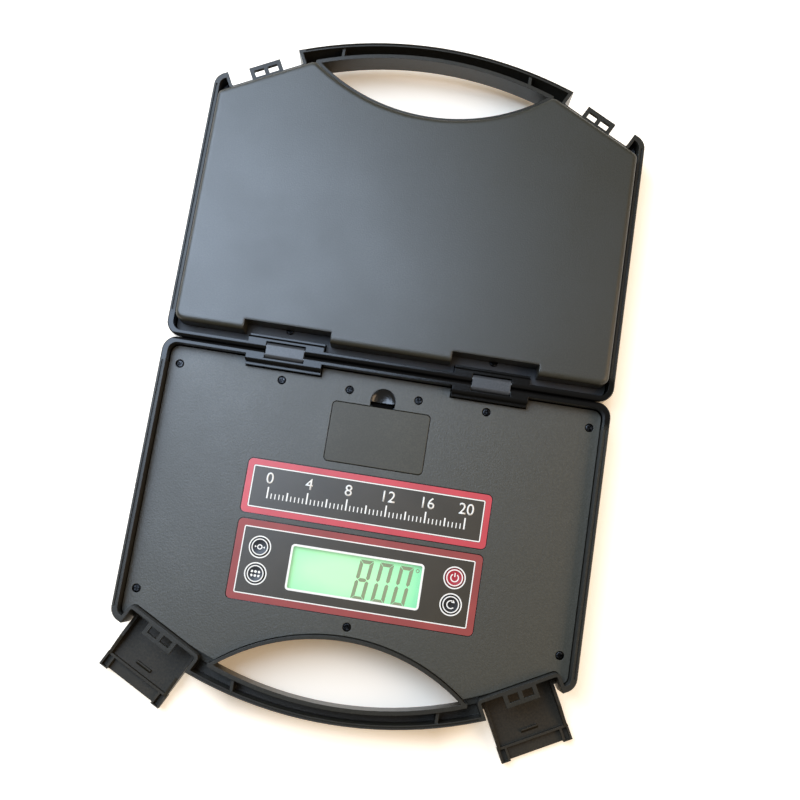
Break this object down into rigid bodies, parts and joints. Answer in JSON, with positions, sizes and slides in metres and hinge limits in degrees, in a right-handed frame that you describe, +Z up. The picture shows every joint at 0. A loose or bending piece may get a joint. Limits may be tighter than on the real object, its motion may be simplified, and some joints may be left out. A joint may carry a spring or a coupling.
{
  "type": "parcel scale",
  "caption": "Folding parcel scale: two case halves joined by link hinges, a raised weighing platform in one, a display with keys in the other, two snap latches and a carrying handle.",
  "frame": {"origin": "on the table under the middle of the open scale, 4.4 mm from the seam on the display half's side", "axes": "+X to the right along the hinge line, +Y from the display half to the platform half, +Z up"},
  "size_m": [0.2498, 0.3776, 0.0305],
  "materials": {
    "black_abs": "fine textured moulding",
    "inner_black": "satin moulding",
    "matte_black_trim": "satin",
    "black_oxide": "black oxide",
    "bright_steel": "zinc plated",
    "aluminium_bar": "milled",
    "label_red": "printed film, red border over black",
    "window": "clear polished",
    "lcd": "backlit green",
    "lcd_segment": "dark segments",
    "light_guide": "diffuse",
    "green_board": "solder mask",
    "key_black": "satin",
    "key_red": "satin",
    "cell_jacket": "printed sleeve",
    "foot_rubber": "matt"
  },
  "bodies": {
    "display_half": {"display_shell": "black_abs", "display_panel": "black_abs", "panel_screws": "black_oxide", "name_plate": "label_red", "control_plate": "label_red", "display_window": "window", "display_digits": "lcd_segment", "display_glass": "lcd", "backlight": "light_guide", "circuit_board": "green_board", "board_chips": "matte_black_trim", "key_switches": "matte_black_trim", "board_screws": "bright_steel", "battery_box": "inner_black", "battery_cells": "cell_jacket", "battery_contacts": "bright_steel", "display_feet": "foot_rubber", "display_pins": "bright_steel"},
    "hinge_link_pair": {"hinge_links": "black_abs"},
    "platform_half": {"platform_shell": "black_abs", "platform_pan": "inner_black", "pan_screws": "bright_steel", "cell_base_plate": "bright_steel", "base_plate_screws": "black_oxide", "lower_spacer": "bright_steel", "lower_bolts": "black_oxide", "load_cell": "aluminium_bar", "overload_stops": "foot_rubber", "platform_feet": "foot_rubber", "platform_pins": "bright_steel"},
    "weighing_deck": {"weighing_platform": "black_abs", "platform_carrier": "bright_steel", "carrier_screws": "black_oxide", "upper_spacer": "bright_steel", "upper_bolts": "black_oxide"},
    "left_latch": {"latch_left": "black_abs"},
    "right_latch": {"latch_right": "black_abs"},
    "battery_lid": {"battery_cover": "black_abs"},
    "tare_key": {"key_tare": "key_black"},
    "count_key": {"key_count": "key_black"},
    "power_key": {"key_power": "key_red"},
    "mode_key": {"key_mode": "key_black"}
  },
  "joints": [
    {"name": "display_side_hinge", "type": "hinge", "parent": "display_half", "child": "hinge_link_pair", "pos_m": [0, 0.00215, 0.0224], "axis": [1, 0, 0], "range_deg": [0, 90]},
    {"name": "platform_side_hinge", "type": "hinge", "parent": "hinge_link_pair", "child": "platform_half", "pos_m": [0, 0.00665, 0.0224], "axis": [1, 0, 0], "range_deg": [0, 90]},
    {"name": "left_latch_hinge", "type": "hinge", "parent": "display_half", "child": "left_latch", "pos_m": [-0.09298, -0.15146, 0.0088], "axis": [-0.887, 0.4617, 0], "range_deg": [0, 90]},
    {"name": "right_latch_hinge", "type": "hinge", "parent": "display_half", "child": "right_latch", "pos_m": [0.09298, -0.15146, 0.0088], "axis": [-0.887, -0.4617, 0], "range_deg": [0, 90]},
    {"name": "battery_cover_hinge", "type": "hinge", "parent": "display_half", "child": "battery_lid", "pos_m": [0, -0.0481, 0.0165], "axis": [-1, 0, 0], "range_deg": [-70, 0]},
    {"name": "platform_travel", "type": "slide", "parent": "platform_half", "child": "weighing_deck", "axis": [0, 0, -1], "range_m": [0, 0.0004], "stiffness_N_per_m": 20000, "springref_m": -0.0004, "deforming": ["load_cell"]},
    {"name": "tare_key_press", "type": "slide", "parent": "display_half", "child": "tare_key", "axis": [0, 0, -1], "range_m": [0, 0.0004], "stiffness_N_per_m": 1500, "springref_m": -0.0003},
    {"name": "count_key_press", "type": "slide", "parent": "display_half", "child": "count_key", "axis": [0, 0, -1], "range_m": [0, 0.0004], "stiffness_N_per_m": 1500, "springref_m": -0.0003},
    {"name": "power_key_press", "type": "slide", "parent": "display_half", "child": "power_key", "axis": [0, 0, -1], "range_m": [0, 0.0004], "stiffness_N_per_m": 1500, "springref_m": -0.0003},
    {"name": "mode_key_press", "type": "slide", "parent": "display_half", "child": "mode_key", "axis": [0, 0, -1], "range_m": [0, 0.0004], "stiffness_N_per_m": 1500, "springref_m": -0.0003}
  ]
}
